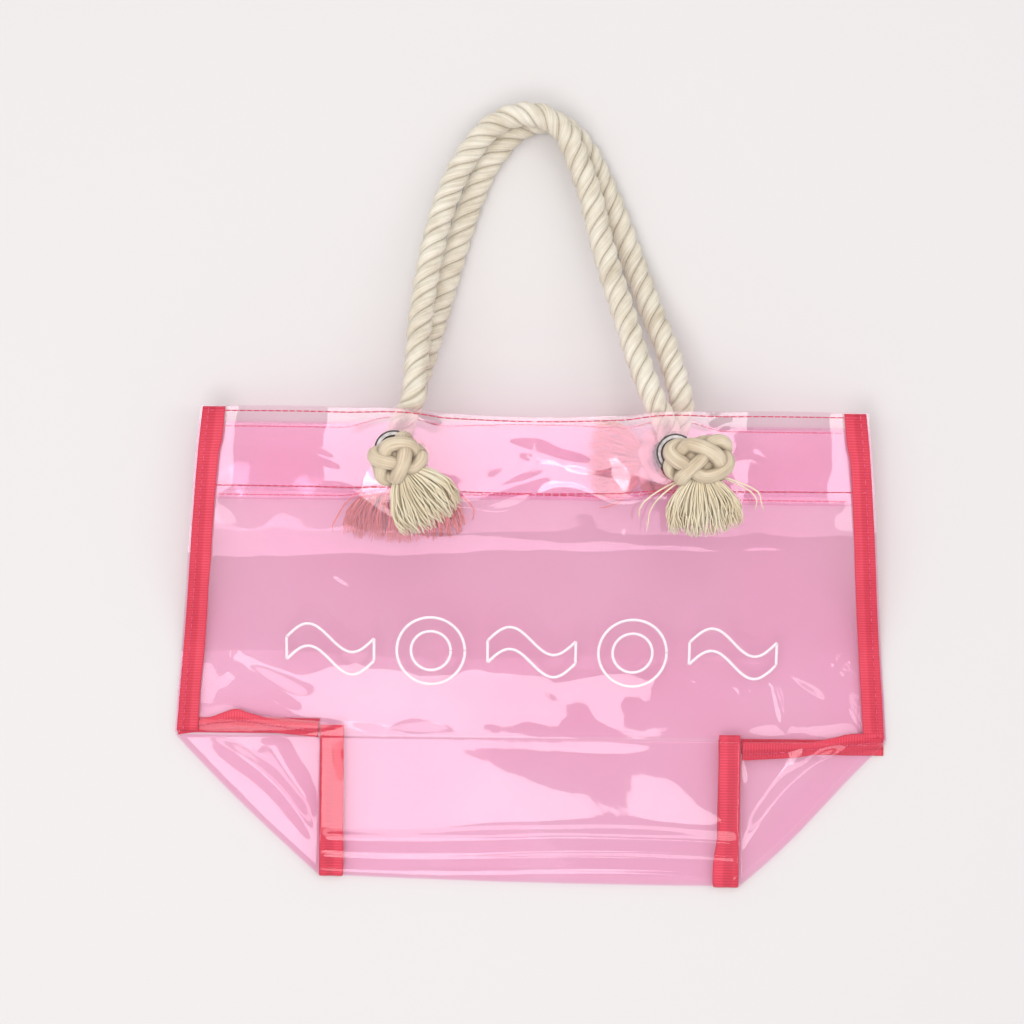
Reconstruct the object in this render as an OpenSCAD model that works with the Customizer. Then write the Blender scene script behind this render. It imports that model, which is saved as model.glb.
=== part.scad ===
// A beach tote of clear tinted film with two knotted rope handles, lying on its back.
// Millimetres. X runs across the bag, Y from the base towards the mouth, and Z up from
// the plane that it lies on. The crease between front wall and base is at Y = 0.

/* [Body] */
// Width across the mouth, lying flat
mouth_w = 468; // [460:2:476]
// Width across the foot of the walls, lying flat
foot_w = 506; // [498:2:514]
// Height of the walls from crease to mouth
wall_h = 232; // [226:1:238]
// Width of the base
base_w = 298; // [292:2:304]
// Depth of the base, folded in half as the bag lies
base_d = 206; // [196:2:216]
// Thickness of the film
film = 0.5; // [0.4:0.1:0.6]
// Height of the doubled band round the mouth
hem_h = 59; // [56:1:62]

/* [Binding] */
// Width of the binding tape, folded over the seam
tape_w = 15; // [12:1:16]
// Thickness of the bound seam
tape_t = 1.2; // [1:0.1:1.3]

/* [Handles] */
// Diameter of the rope
rope_d = 17.5; // [16:0.5:17.5]
// Height of a knot
knot_h = 28.5; // [26:0.5:28.5]

/* [Eyelets] */
// Bore of an eyelet
eyelet_bore = 18.4; // [18.2:0.1:18.8]
// Outside diameter of an eyelet
eyelet_od = 26.6; // [25:0.2:28]
// Distance of an eyelet from the bag's middle
eyelet_x = 97; // [94:1:98]
// Distance of an eyelet below the mouth
eyelet_drop = 30; // [28:1:34]

/* [Hidden] */

film_colour = [0.97, 0.55, 0.76, 0.5];
tape_colour = [0.85, 0.16, 0.25];
rope_colour = [0.88, 0.84, 0.72];
metal_colour = [0.75, 0.75, 0.76];
thread_colour = [0.93, 0.45, 0.55];
ink_colour = [1, 0.97, 0.97];

// As the bag lies, the back wall is flat up to flat_to and then rises over the back
// knots, and the front wall stands off it by its belly.
flat_to = 40;
ramp_to = 150;
knot_room = 31;      // lift of the back wall over its knots
seam_gap = 4;        // between the walls at the side seams
crease_rise = 11;    // extra gap at the front crease
mouth_rise = 28;     // extra gap at the mouth
belly_x = 115;       // the front wall is level out to here at the mouth
slip = 0.35;         // gap between pieces that move on each other
lay = 0.1;           // gap between pieces of one body that lie on each other
loose_gap = 0.4;     // between a flange and its knot
thread_w = 0.8;
thread_t = 0.4;
fold_r = 4.25;       // radius of the rolled fold along the bottom

eyelet_y = wall_h - eyelet_drop;
flange_t = 1.6;
barrel_t = 0.6;
washer_t = 1;
rim_t = 0.6;
film_hole_r = eyelet_bore / 2 + barrel_t + 0.2;
hem_step = film + 0.2;                       // from the wall to the layer inside it
washer_from = hem_step + film + lay;         // depth of the washer's outer face
rim_from = washer_from + washer_t + lay;     // depth of the rolled rim
back_bottom = knot_room;                     // underside of the back wall at the mouth
front_top = knot_room + film + seam_gap + crease_rise + mouth_rise;
front_knot_z = front_top + flange_t + loose_gap;

function smooth(t) = let (u = min(max(t, 0), 1)) u * u * (3 - 2 * u);
function unit(v) = v / norm(v);
function tangent(p, i) = unit(p[min(i + 1, len(p) - 1)] - p[max(i - 1, 0)]);
function half_w(y) = (foot_w + (mouth_w - foot_w) * max(y, 0) / wall_h) / 2;
function back_z(y) = film / 2 + knot_room * smooth((y - flat_to) / (ramp_to - flat_to));
function belly(x, y) = 1 - smooth((abs(x) - belly_x) / (half_w(y) - belly_x));
// The front wall's middle is nearly level above the crease, then rises steeply, and
// it is level again in the stiff band round the mouth.
front_rise = [[0, 0], [30, 0.03], [55, 0.12], [75, 0.26], [158, 0.96], [172, 1], [400, 1]];
function front_level(y) = film / 2 + seam_gap + crease_rise
  + (knot_room + mouth_rise) * lookup(y, front_rise);
function front_z(x, y) = let (low = back_z(y) + seam_gap)
  low + belly(x, y) * (front_level(y) - low);

// Columns across a wall: five in its level middle and four on each flank.
function flank(y) = [for (f = [0.25:0.25:1]) belly_x + (half_w(y) - belly_x) * f];
function backwards(v) = [for (i = [len(v) - 1:-1:0]) v[i]];
function columns(y) = concat(
  -1 * backwards(flank(y)), [for (k = [-2:2]) k * belly_x / 2], flank(y));

// A thin solid on a grid of mid-surface points, rows along Y and columns along X.
module grid_sheet(grid, t) {
  rows = len(grid);
  cols = len(grid[0]);
  flat = [for (row = grid) each row];
  points = concat([for (p = flat) p + [0, 0, t / 2]], [for (p = flat) p - [0, 0, t / 2]]);
  under = rows * cols;
  last_r = rows - 1;
  last_c = cols - 1;
  faces = concat(
    [for (r = [0:last_r - 1], c = [0:last_c - 1]) let (a = r * cols + c)
      each [[a, a + cols, a + 1], [a + 1, a + cols, a + cols + 1]]],
    [for (r = [0:last_r - 1], c = [0:last_c - 1]) let (a = under + r * cols + c)
      each [[a, a + 1, a + cols], [a + 1, a + cols + 1, a + cols]]],
    [for (c = [0:last_c - 1]) [c, c + 1, under + c + 1, under + c]],
    [for (c = [0:last_c - 1]) let (a = last_r * cols + c)
      [a + 1, a, under + a, under + a + 1]],
    [for (r = [0:last_r - 1]) let (a = r * cols)
      [a + cols, a, under + a, under + a + cols]],
    [for (r = [0:last_r - 1]) let (a = r * cols + last_c)
      [a, a + cols, under + a + cols, under + a]]
  );
  polyhedron(points = points, faces = faces);
}

// A strip of thickness t along a path of [y, z] points, run along X from x0 to x1.
function normal(p, i) = let (d = tangent(p, i)) [-d[1], d[0]];
function strip(path, t) = concat(
  [for (i = [0:len(path) - 1]) path[i] + normal(path, i) * t / 2],
  [for (i = [len(path) - 1:-1:0]) path[i] - normal(path, i) * t / 2]);
module run_along_x(path, t, x0, x1)
  translate([x0, 0, 0]) rotate([90, 0, 90]) linear_extrude(x1 - x0) polygon(strip(path, t));

// A round tube along points; ref is a direction that the path never takes.
function ring(c, t, ref, r, n) =
  let (a = unit(cross(ref, t)), b = cross(t, a))
  [for (k = [0:n - 1]) c + r * (cos(360 * k / n) * a + sin(360 * k / n) * b)];
module tube(path, r, ref) {
  n = 12;
  last = len(path) - 1;
  points = [for (i = [0:last]) each ring(path[i], tangent(path, i), ref, r, n)];
  sides = [for (i = [0:last - 1], k = [0:n - 1])
    let (a = i * n + k, b = i * n + (k + 1) % n)
    each [[a, a + n, b], [b, a + n, b + n]]];
  polyhedron(points = points,
    faces = concat(sides, [[for (k = [0:n - 1]) k]], [[for (k = [n - 1:-1:0]) last * n + k]]));
}

// ---- film ----

wall_rows = [slip + 0.05, 30, 55, 75, 100, 130, 158, 172, 190, wall_h];

module eyelet_holes() {
  for (side = [-1, 1])
    translate([side * eyelet_x, eyelet_y, -10]) cylinder(r = film_hole_r, h = 120, $fn = 64);
}

module front_panel() color(film_colour)
  difference() {
    grid_sheet([for (y = wall_rows) [for (x = columns(y)) [x, y, front_z(x, y)]]], film);
    eyelet_holes();
  }

module front_hem() color(film_colour)
  difference() {
    grid_sheet([for (y = [wall_h - hem_h, 190, wall_h])
      [for (x = columns(y)) [x, y, front_z(x, y) - hem_step]]], film);
    eyelet_holes();
  }

// The back wall's foot is flush with the base, and it rises on a smooth ramp.
back_foot = -20;
ramp_rows = [for (f = [0:0.125:1]) flat_to + (ramp_to - flat_to) * f];
back_path = concat([[back_foot, back_z(0)]], [for (y = ramp_rows) [y, back_z(y)]],
  [[wall_h, back_z(wall_h)]]);

module wall_outline(inset)
  translate([0, 0, -1]) linear_extrude(120) polygon([
    [-base_w / 2, back_foot - 1], [-base_w / 2, 0], [-foot_w / 2 + inset, 0],
    [-mouth_w / 2 + inset, wall_h + 1], [mouth_w / 2 - inset, wall_h + 1],
    [foot_w / 2 - inset, 0], [base_w / 2, 0], [base_w / 2, back_foot - 1]]);

module back_panel() color(film_colour)
  difference() {
    intersection() {
      run_along_x(back_path, film, -foot_w / 2, foot_w / 2);
      wall_outline(0);
    }
    eyelet_holes();
  }

module back_hem() color(film_colour)
  difference() {
    translate([-mouth_w / 2 + tape_w + 2, wall_h - hem_h, back_z(wall_h) - film / 2 + hem_step])
      cube([mouth_w - 2 * tape_w - 4, hem_h, film]);
    eyelet_holes();
  }

// The base is folded in half along a rolled fold at the bottom.
crease_z = front_z(0, 0);
fold_y = -base_d / 2 + fold_r + film / 2;
fold_z = fold_r + film / 2;
function fold_arc(r) = [for (a = [120:30:240]) [fold_y + r * cos(a), fold_z + r * sin(a)]];
function base_path(inset) = concat(
  [[0, crease_z - inset], [-35, crease_z - 1 - inset], [-70, crease_z - 3.5 - inset],
   [fold_y, fold_z + fold_r - inset]],
  fold_arc(fold_r - inset),
  [[fold_y, film / 2 + inset], [back_foot, film / 2 + inset]]);

module base_panel() color(film_colour)
  run_along_x(base_path(0), film, -base_w / 2, base_w / 2);

// A gusset is a square of film folded corner to corner; it is open towards the base.
module wedge(a, b, c, top, bottom)
  polyhedron(
    points = concat([for (p = [a, b, c]) [p[0], p[1], height_at(p) - top]],
                    [for (p = [a, b, c]) [p[0], p[1], bottom]]),
    faces = [[0, 1, 2], [5, 4, 3], [0, 3, 4, 1], [1, 4, 5, 2], [2, 5, 3, 0]]);
gusset_c = [base_w / 2 + slip, -0.8, 14];
gusset_m = [foot_w / 2 - 0.5, -0.8, seam_gap + film];
gusset_p = [base_w / 2 + 3, -base_d / 2, 6];
function height_at(p) =
  let (n = cross(gusset_m - gusset_c, gusset_p - gusset_c))
  gusset_c[2] - (n[0] * (p[0] - gusset_c[0]) + n[1] * (p[1] - gusset_c[1])) / n[2];

module gusset() color(film_colour)
  difference() {
    wedge(gusset_c, gusset_m, gusset_p, 0, 0);
    // the fold's line moved inwards by a millimetre and run past both ends
    wedge(gusset_c + [-8, 8, 0], gusset_m + [4, 5.4, 0], gusset_p + [-5.4, -4, 0], film, film);
  }

// ---- binding tape and its thread ----

tape_rows = concat([tape_w + 0.5], ramp_rows, [wall_h - 1]);
tape_lift = film / 2 + lay + tape_t / 2;
thread_lift = tape_lift + tape_t / 2 + lay / 2 + thread_t / 2;
thread_in = 5;       // from the seam to its row of stitches

module side_tape() color(tape_colour)
  grid_sheet([for (y = tape_rows)
    [for (x = [half_w(y) - tape_w, half_w(y) - 0.5]) [x, y, back_z(y) + tape_lift]]], tape_t);

module side_thread() color(thread_colour)
  grid_sheet([for (y = tape_rows)
    [for (x = [-thread_w / 2, thread_w / 2])
      [half_w(y) - thread_in + x, y, back_z(y) + thread_lift]]], thread_t);

across_columns = [for (f = [0:0.25:1]) base_w / 2 + 1 + (foot_w / 2 - base_w / 2 - 2) * f];
module across_tape() color(tape_colour) {
  grid_sheet([for (y = [1, tape_w])
    [for (x = across_columns)
      [x, y, front_z(x, y) - film / 2 - slip - tape_t / 2]]], tape_t);
  grid_sheet([for (y = [1, tape_w])
    [for (x = across_columns) [x, y, back_z(0) + tape_lift]]], tape_t);
  // the turn of the tape at the foot of the side seam
  translate([foot_w / 2 - 2.5, 1, film + lay]) cube([1.4, tape_w - 1, seam_gap - film - slip]);
}

module across_thread() color(thread_colour)
  translate([base_w / 2 + 1, thread_in / 2, back_z(0) + thread_lift - thread_t / 2])
    cube([foot_w / 2 - base_w / 2 - thread_in, thread_w, thread_t]);

tape_inset = film / 2 + lay + tape_t / 2;
module down_tape() color(tape_colour)
  run_along_x(base_path(tape_inset), tape_t, base_w / 2 - tape_w, base_w / 2 - 0.5);

thread_inset = tape_inset + tape_t / 2 + lay + thread_t / 2;
module down_thread() color(thread_colour)
  run_along_x(base_path(thread_inset), thread_t,
    base_w / 2 - thread_in, base_w / 2 - thread_in + thread_w);

// ---- thread round the mouth ----

top_row = wall_h - 5;
hem_row = wall_h - hem_h + 3.5;
outside = film / 2 + lay + thread_t / 2;
module front_thread(y) color(thread_colour)
  grid_sheet([for (v = [y, y + thread_w])
    [for (x = columns(v)) [x, v, front_z(x, v) + outside]]], thread_t);
module back_thread(y) color(thread_colour)
  translate([-mouth_w / 2 + 2, y, back_bottom - lay - thread_t])
    cube([mouth_w - 4, thread_w, thread_t]);

// ---- ink ----

print_y = 62;
print_step = 71;     // between one device and the next
ink_w = 1.6;
ink_t = 0.2;
ink_lift = 0.8;
ring_r = [24, 14];   // the two circles of a ring
wave_l = 62;
wave_a = 10;
wave_up = 8;         // of each of a wave's two lines from its middle
// The front wall's own height, which is straight between its rows and columns.
function wall_z(x, y) = lookup(y, [for (row = wall_rows)
  [row, lookup(x, [for (c = columns(row)) [c, front_z(c, row)]])]]);
module ink_line(path)
  grid_sheet([for (i = [0:len(path) - 1])
    [for (s = [1, -1]) let (q = path[i] + s * normal(path, i) * ink_w / 2)
      [q[0], q[1], wall_z(q[0], q[1]) + film / 2 + ink_lift + ink_t / 2]]], ink_t);
function circle_path(x, r) =
  [for (a = [352:-22:0]) [x + r * cos(a), print_y + r * sin(a)]];
function wave_path(x, up) =
  [for (f = [0:0.1:1]) [x + (f - 0.5) * wave_l, print_y + up + wave_a * sin(360 * f)]];
module front_print() color(ink_colour) {
  for (k = [-1, 1], r = ring_r) ink_line(circle_path(k * print_step, r));
  for (k = [-2, 0, 2], up = [-wave_up, wave_up]) ink_line(wave_path(k * print_step, up));
}

// ---- eyelets ----

module eyelet() color(metal_colour)
  rotate_extrude($fn = 96) polygon([
    [eyelet_bore / 2, -rim_from - rim_t], [eyelet_bore / 2 + 2, -rim_from - rim_t],
    [eyelet_bore / 2 + 2, -rim_from], [eyelet_bore / 2 + barrel_t, -rim_from],
    [eyelet_bore / 2 + barrel_t, lay / 2], [eyelet_od / 2, lay / 2],
    [eyelet_od / 2, 0.8], [eyelet_od / 2 - 1.2, flange_t],
    [eyelet_bore / 2 + 0.8, flange_t], [eyelet_bore / 2, flange_t - 0.8]]);

module washer() color(metal_colour)
  translate([0, 0, -washer_from - washer_t])
    difference() {
      cylinder(d = eyelet_od, h = washer_t, $fn = 96);
      translate([0, 0, -1]) cylinder(r = film_hole_r - 0.1, h = washer_t + 2, $fn = 96);
    }

module at_front(x) translate([x, eyelet_y, front_top]) children();
module at_back(x) translate([x, eyelet_y, back_bottom]) mirror([0, 0, 1]) children();

// ---- ropes ----
// Routes are [x, y above the mouth, z], from the left leg over the top to the right leg.

front_route = [
  [-84, 5, 61.5], [-84, 7, 61.5], [-83, 20, 58.5], [-82, 36, 54], [-79.5, 70, 45], [-74, 106, 36.5],
  [-66, 140, 30], [-55, 168, 27.8], [-44, 186, 27.4], [-32, 199, 27.4], [-15, 207, 27.4],
  [4, 206, 27.4], [19, 195, 27.4], [28, 176, 28], [37, 152, 29], [44, 124, 31.5],
  [52, 96, 37], [60.5, 70, 44], [69, 42, 51.5], [77, 20, 57.5], [83, 7, 61.5],
  [83, 5, 61.5]];
back_route = [
  [-86, 5, 43], [-86, 7, 43], [-82, 20, 37.5], [-77, 36, 31], [-68.5, 70, 18.5], [-59, 106, 10.5],
  [-49, 140, 9.1], [-38, 168, 9], [-28, 184, 9], [-14, 199, 9], [5, 205, 9],
  [22, 198, 9], [34, 184, 9], [44, 166, 9], [56.5, 138, 9.1], [69, 105, 11],
  [82, 70, 20], [93, 42, 31], [100, 18, 38.5], [103, 7, 43],
  [103, 5, 43]];
function above_mouth(route) = [for (p = route) [p[0], p[1] + wall_h, p[2]]];

// A rope's end runs from its knot through the eyelet and turns up towards the mouth, in
// points [x, y above the eyelet, z].
front_left_end = [[-97, 0, 76], [-97, 0, 69.8], [-96.6, 2.2, 65.8], [-95.4, 7, 62.6],
  [-92.6, 15, 61.6], [-88.8, 25, 61.6], [-84, 32.6, 61.5], [-84, 34.6, 61.5]];
front_right_end = [[97, 0, 76], [97, 0, 69.8], [96.6, 2.2, 65.8], [95.4, 7, 62.6],
  [92.4, 15, 61.6], [88.2, 25, 61.6], [83, 32.6, 61.5], [83, 34.6, 61.5]];
back_left_end = [[-97, 0, 29], [-97, 0, 35.4], [-96.7, 2.2, 39.4], [-95.6, 7, 42.4],
  [-93, 15, 43.2], [-89.6, 25, 43.2], [-86, 32.6, 43], [-86, 34.6, 43]];
back_right_end = [[97, 0, 29], [97, 0, 35.4], [97.2, 2.2, 39.4], [97.8, 7, 42.4],
  [99.4, 15, 43.2], [101.2, 25, 43.2], [103, 32.6, 43], [103, 34.6, 43]];
function above_eyelet(path) = [for (p = path) [p[0], p[1] + eyelet_y, p[2]]];

module handle_rope(route) color(rope_colour) tube(above_mouth(route), rope_d / 2, [0, 0, 1]);
module rope_end(path) color(rope_colour) tube(above_eyelet(path), rope_d / 2, [1, 0, 0]);

// ---- knots and tassels ----

// A knot is a rounded puck; its centre sits off its eyelet as it was pulled tight.
knot_round = 10;
function corner(cx, cy, from) =
  [for (a = [from:15:from + 90]) [cx + knot_round * cos(a), cy + knot_round * sin(a)]];
module knot(r, at) color(rope_colour)
  translate(at) rotate_extrude($fn = 64) polygon(concat(
    [[0, 0]], corner(r - knot_round, knot_round, 270),
    corner(r - knot_round, knot_h - knot_round, 0), [[0, knot_h]]));

// A tassel is a flat fan with a round root, on which it swings; its root is at the origin.
tassel_t = 14.5;
root_w = 18;
module tassel(length, width) color(rope_colour) {
  rotate([90, 0, 0]) cylinder(d = tassel_t, h = root_w, center = true, $fn = 48);
  translate([0, 0, -tassel_t / 2]) linear_extrude(tassel_t) polygon(concat(
    [[0, -root_w / 2]],
    [for (a = [-90:22.5:90]) [length * (0.7 + 0.3 * cos(a)), width / 2 * sin(a)]],
    [[0, root_w / 2]]));
}

front_left_at = [-95, eyelet_y - 5, front_knot_z];
front_right_at = [112, eyelet_y - 4, front_knot_z];
back_left_at = [-93, eyelet_y - 5, 0];
back_right_at = [92, eyelet_y - 6, 0];
left_knot_r = 21;
right_knot_r = 23;
root_gap = 0.8;
// The tassel of a knot, pointing at an angle from +X, z being its mid-height.
module tassel_on(knot_at, knot_r, angle, z, length, width)
  translate([knot_at[0], knot_at[1], z]) rotate([0, 0, angle])
    translate([knot_r + root_gap + tassel_t / 2, 0, 0]) tassel(length, width);
front_tassel_z = front_knot_z + tassel_t / 2;
back_tassel_z = tassel_t / 2;

// ---- all pieces ----

front_panel();
back_panel();
base_panel();
mirror([1, 0, 0]) gusset();  // left_gusset
gusset();  // right_gusset
front_hem();
back_hem();
mirror([1, 0, 0]) side_tape();  // left_side_tape
side_tape();  // right_side_tape
mirror([1, 0, 0]) across_tape();  // left_across_tape
across_tape();  // right_across_tape
mirror([1, 0, 0]) down_tape();  // left_down_tape
down_tape();  // right_down_tape
front_thread(top_row);  // front_top_thread
front_thread(hem_row);  // front_hem_thread
back_thread(top_row);  // back_top_thread
back_thread(hem_row);  // back_hem_thread
mirror([1, 0, 0]) side_thread();  // left_side_thread
side_thread();  // right_side_thread
mirror([1, 0, 0]) down_thread();  // left_down_thread
down_thread();  // right_down_thread
mirror([1, 0, 0]) across_thread();  // left_across_thread
across_thread();  // right_across_thread
front_print();
at_front(-eyelet_x) eyelet();  // front_left_eyelet
at_front(eyelet_x) eyelet();  // front_right_eyelet
at_back(-eyelet_x) eyelet();  // back_left_eyelet
at_back(eyelet_x) eyelet();  // back_right_eyelet
at_front(-eyelet_x) washer();  // front_left_washer
at_front(eyelet_x) washer();  // front_right_washer
at_back(-eyelet_x) washer();  // back_left_washer
at_back(eyelet_x) washer();  // back_right_washer
handle_rope(front_route);  // front_handle_rope
rope_end(front_left_end);  // front_left_rope_end
rope_end(front_right_end);  // front_right_rope_end
handle_rope(back_route);  // back_handle_rope
rope_end(back_left_end);  // back_left_rope_end
rope_end(back_right_end);  // back_right_rope_end
knot(left_knot_r, front_left_at);  // front_left_knot
knot(right_knot_r, front_right_at);  // front_right_knot
knot(left_knot_r, back_left_at);  // back_left_knot
knot(right_knot_r, back_right_at);  // back_right_knot
tassel_on(front_left_at, left_knot_r, -52, front_tassel_z, 24, 42);  // front_left_tassel
tassel_on(front_right_at, right_knot_r, -84, front_tassel_z, 22, 48);  // front_right_tassel
tassel_on(back_left_at, left_knot_r, -90, back_tassel_z, 32, 66);  // back_left_tassel
tassel_on(back_right_at, right_knot_r, 178, back_tassel_z, 24, 44);  // back_right_tassel
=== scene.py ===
"""The looks of a clear tinted beach tote with knotted rope handles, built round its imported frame.

Metres throughout. X runs across the bag, Y from the base to the mouth, and Z up from the plane
that the bag lies on. The crease between the front wall and the base is at y = 0.
"""

import math
import random

import bpy
import numpy as np
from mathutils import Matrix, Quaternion, Vector, noise


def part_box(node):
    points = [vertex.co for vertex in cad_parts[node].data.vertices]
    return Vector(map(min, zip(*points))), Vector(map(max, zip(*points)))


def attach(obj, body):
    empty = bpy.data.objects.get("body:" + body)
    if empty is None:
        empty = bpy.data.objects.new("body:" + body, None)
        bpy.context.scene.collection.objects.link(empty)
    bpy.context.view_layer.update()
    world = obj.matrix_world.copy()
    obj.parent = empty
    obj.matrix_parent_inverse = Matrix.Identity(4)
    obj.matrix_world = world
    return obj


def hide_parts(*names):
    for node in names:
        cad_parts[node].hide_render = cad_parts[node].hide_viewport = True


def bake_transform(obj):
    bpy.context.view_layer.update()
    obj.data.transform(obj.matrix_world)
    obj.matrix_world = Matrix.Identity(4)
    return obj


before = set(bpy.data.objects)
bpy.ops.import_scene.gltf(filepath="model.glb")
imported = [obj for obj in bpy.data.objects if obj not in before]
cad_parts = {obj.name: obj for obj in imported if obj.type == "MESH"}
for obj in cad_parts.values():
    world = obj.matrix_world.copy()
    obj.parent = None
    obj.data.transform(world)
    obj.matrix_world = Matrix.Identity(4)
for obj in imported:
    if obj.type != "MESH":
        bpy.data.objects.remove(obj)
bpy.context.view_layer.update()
scene = bpy.context.scene
MM = 0.001
SIDES = ((-1, "left"), (1, "right"))
UP = np.array([0, 0, 1.0])

# ---- sizes, from the frame where it has them ----

MOUTH_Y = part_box("front_panel")[1].y
FRONT_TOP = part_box("front_panel")[1].z
FOOT_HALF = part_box("back_panel")[1].x
BACK_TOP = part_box("back_panel")[1].z
BASE_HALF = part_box("base_panel")[1].x
FOLD_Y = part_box("base_panel")[0].y
HEM_FOOT_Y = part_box("back_hem")[0].y
MOUTH_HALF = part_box("back_hem")[1].x + 17 * MM
EYELET_Y = sum(c.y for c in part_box("front_left_eyelet")) / 2
EYELET_X = sum(c.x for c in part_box("front_right_eyelet")) / 2
TAPE_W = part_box("right_down_tape")[1].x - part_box("right_down_tape")[0].x + 0.5 * MM
FILM_T = 0.45 * MM
SEAM_GAP = 4 * MM            # between the walls just inside their side seams
EDGE_GAP = 2.7 * MM          # and at their very edge
CREASE_Z = 15.25 * MM        # height of the crease between the front wall and the base
BELLY_X = 115 * MM           # the front wall slopes down to its seams outside this
FLAT_TO = 40 * MM            # the back wall is flat up to here
RAMP_TO = 150 * MM           # and past here it lies on its knots
KNOT_ROOM = BACK_TOP - 0.5 * MM


# ---- camera and light ----

PLANE_Z = 35 * MM            # the height at which the framing is set
VIEW_CENTRE = Vector((-15 * MM, 160 * MM, PLANE_Z))
VIEW_WIDTH = 717 * MM
LENS = 110.0
ROLL = math.radians(0.7)     # the bag lies a little askew


def make_camera():
    data = bpy.data.cameras.new("camera")
    data.lens = LENS
    camera = bpy.data.objects.new("camera", data)
    distance = VIEW_WIDTH * LENS / data.sensor_width
    camera.location = VIEW_CENTRE + Vector((0, 0, distance))
    camera.rotation_euler = (0, 0, ROLL)
    data.clip_end = 20
    scene.collection.objects.link(camera)
    scene.camera = camera


def area_light(name, size, radiance, place, aim, turn=0.0, colour=(1, 1, 1)):
    """A panel that faces aim, turned about its own axis, with its radiance given."""
    data = bpy.data.lights.new(name, "AREA")
    data.shape = "RECTANGLE"
    data.size, data.size_y = size
    data.energy = radiance * math.pi * size[0] * size[1]
    data.color = colour
    light = bpy.data.objects.new(name, data)
    light.location = place
    facing = (Vector(aim) - Vector(place)).to_track_quat("-Z", "Y")
    light.rotation_mode = "QUATERNION"
    light.rotation_quaternion = facing @ Quaternion((0, 0, 1), math.radians(turn))
    scene.collection.objects.link(light)


def make_lights():
    world = bpy.data.worlds.new("studio")
    world.use_nodes = True
    back = world.node_tree.nodes["Background"]
    back.inputs["Color"].default_value = (1.0, 0.985, 0.985, 1)
    back.inputs["Strength"].default_value = 0.61
    scene.world = world
    area_light("softbox", (1.15, 1.15), 4.4, (-0.45, -0.62, 2.5), (-0.45, -0.6, 0), 35,
               (1, 0.97, 1.0))
    area_light("ceiling", (5.0, 0.58), 3.0, (0.05, 0.34, 2.45), (0.05, 0.34, 0), 0,
               (1, 0.97, 1.0))
    area_light("key", (0.9, 0.9), 3.0, (0.3, 1.6, 2.6), (0, 0.2, 0), 0, (1, 0.99, 0.96))


make_camera()
make_lights()
scene.view_settings.view_transform = "Standard"
scene.cycles.transparent_max_bounces = 24    # the films lie over each other in many layers


# ---- materials ----

def new_material(name):
    """A material, its tree and its Principled shader."""
    material = bpy.data.materials.new(name)
    material.use_nodes = True
    return material, material.node_tree, material.node_tree.nodes["Principled BSDF"]


def feed(tree, socket, value):
    """Sets an input, or links it if the value is another node's output."""
    if isinstance(value, bpy.types.NodeSocket):
        tree.links.new(value, socket)
    else:
        socket.default_value = value


def fill(tree, node, **sockets):
    for name, value in sockets.items():
        feed(tree, node.inputs[name.replace("_", " ")], value)


def add(tree, kind, **sockets):
    """A new node with its inputs set."""
    node = tree.nodes.new(kind)
    fill(tree, node, **sockets)
    return node


def spots(tree, vector, scale, detail):
    """Soft noise between 0 and 1."""
    node = add(tree, "ShaderNodeTexNoise", Vector=vector, Scale=scale, Detail=detail)
    return node.outputs[0]


def maths(tree, operation, a, b=0.0, c=0.0):
    node = tree.nodes.new("ShaderNodeMath")
    node.operation = operation
    for socket, value in zip(node.inputs, (a, b, c)):
        feed(tree, socket, value)
    return node.outputs[0]


def weighed(tree, value, weight, more=0.0):
    return maths(tree, "MULTIPLY_ADD", value, weight, more)


def step_up(tree, value, start, end, low, high):
    """Low before start, high past end, and straight between them."""
    node = tree.nodes.new("ShaderNodeMapRange")
    for socket, given in zip(node.inputs, (value, start, end, low, high)):
        feed(tree, socket, given)
    return node.outputs[0]


def blended(tree, factor, low, high):
    """A colour between two others."""
    node = tree.nodes.new("ShaderNodeMix")
    node.data_type = "RGBA"
    feed(tree, node.inputs["Factor"], factor)
    feed(tree, node.inputs[6], low)
    feed(tree, node.inputs[7], high)
    return node.outputs[2]


def mixed(tree, factor, low, high):
    """A shader between two others."""
    node = add(tree, "ShaderNodeMixShader", Fac=factor)
    tree.links.new(low, node.inputs[1])
    tree.links.new(high, node.inputs[2])
    return node.outputs[0]


def ramp(tree, factor, *stops):
    node = tree.nodes.new("ShaderNodeValToRGB")
    tree.links.new(factor, node.inputs[0])
    elements = node.color_ramp.elements
    while len(elements) < len(stops):
        elements.new(0.5)
    for element, (place, colour) in zip(elements, stops):
        element.position = place
        element.color = (*colour, 1)
    return node.outputs[0]


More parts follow.
